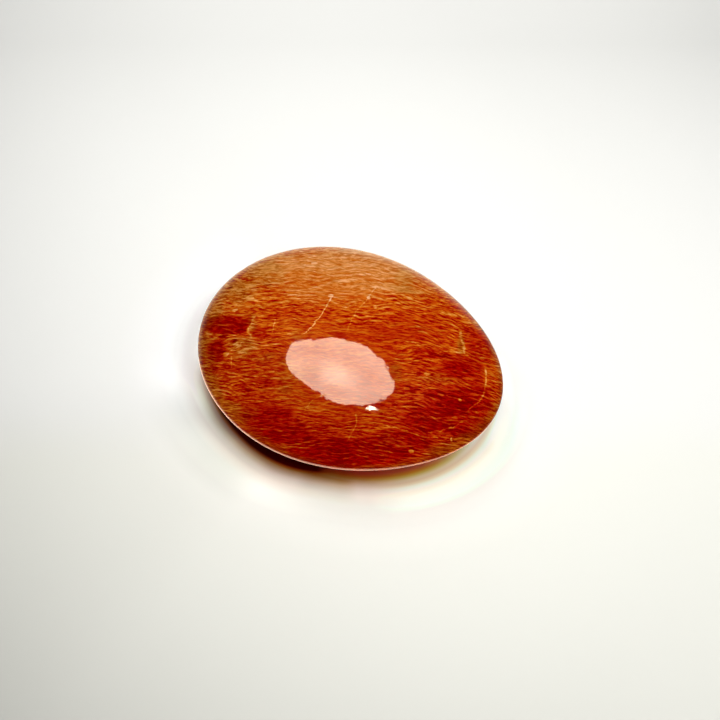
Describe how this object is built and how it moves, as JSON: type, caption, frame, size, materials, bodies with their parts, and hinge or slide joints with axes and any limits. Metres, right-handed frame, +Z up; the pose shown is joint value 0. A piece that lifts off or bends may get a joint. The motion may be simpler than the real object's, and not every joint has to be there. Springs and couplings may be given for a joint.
{
  "type": "palm stone",
  "caption": "Smooth oval pebble of orange-red banded feldspar, polished all over to fit the palm, with a small flat spot underneath that it rests on.",
  "frame": {"origin": "centre of the bounding box in plan, at the level of the flat spot the stone rests on", "axes": "+X along the stone's length, towards its narrower end; +Z up, across its thickness"},
  "size_m": [0.0644, 0.05, 0.019],
  "materials": {
    "polished_feldspar": "high polish, glassy"
  },
  "bodies": {
    "root": {"palm_stone": "polished_feldspar"}
  },
  "joints": []
}
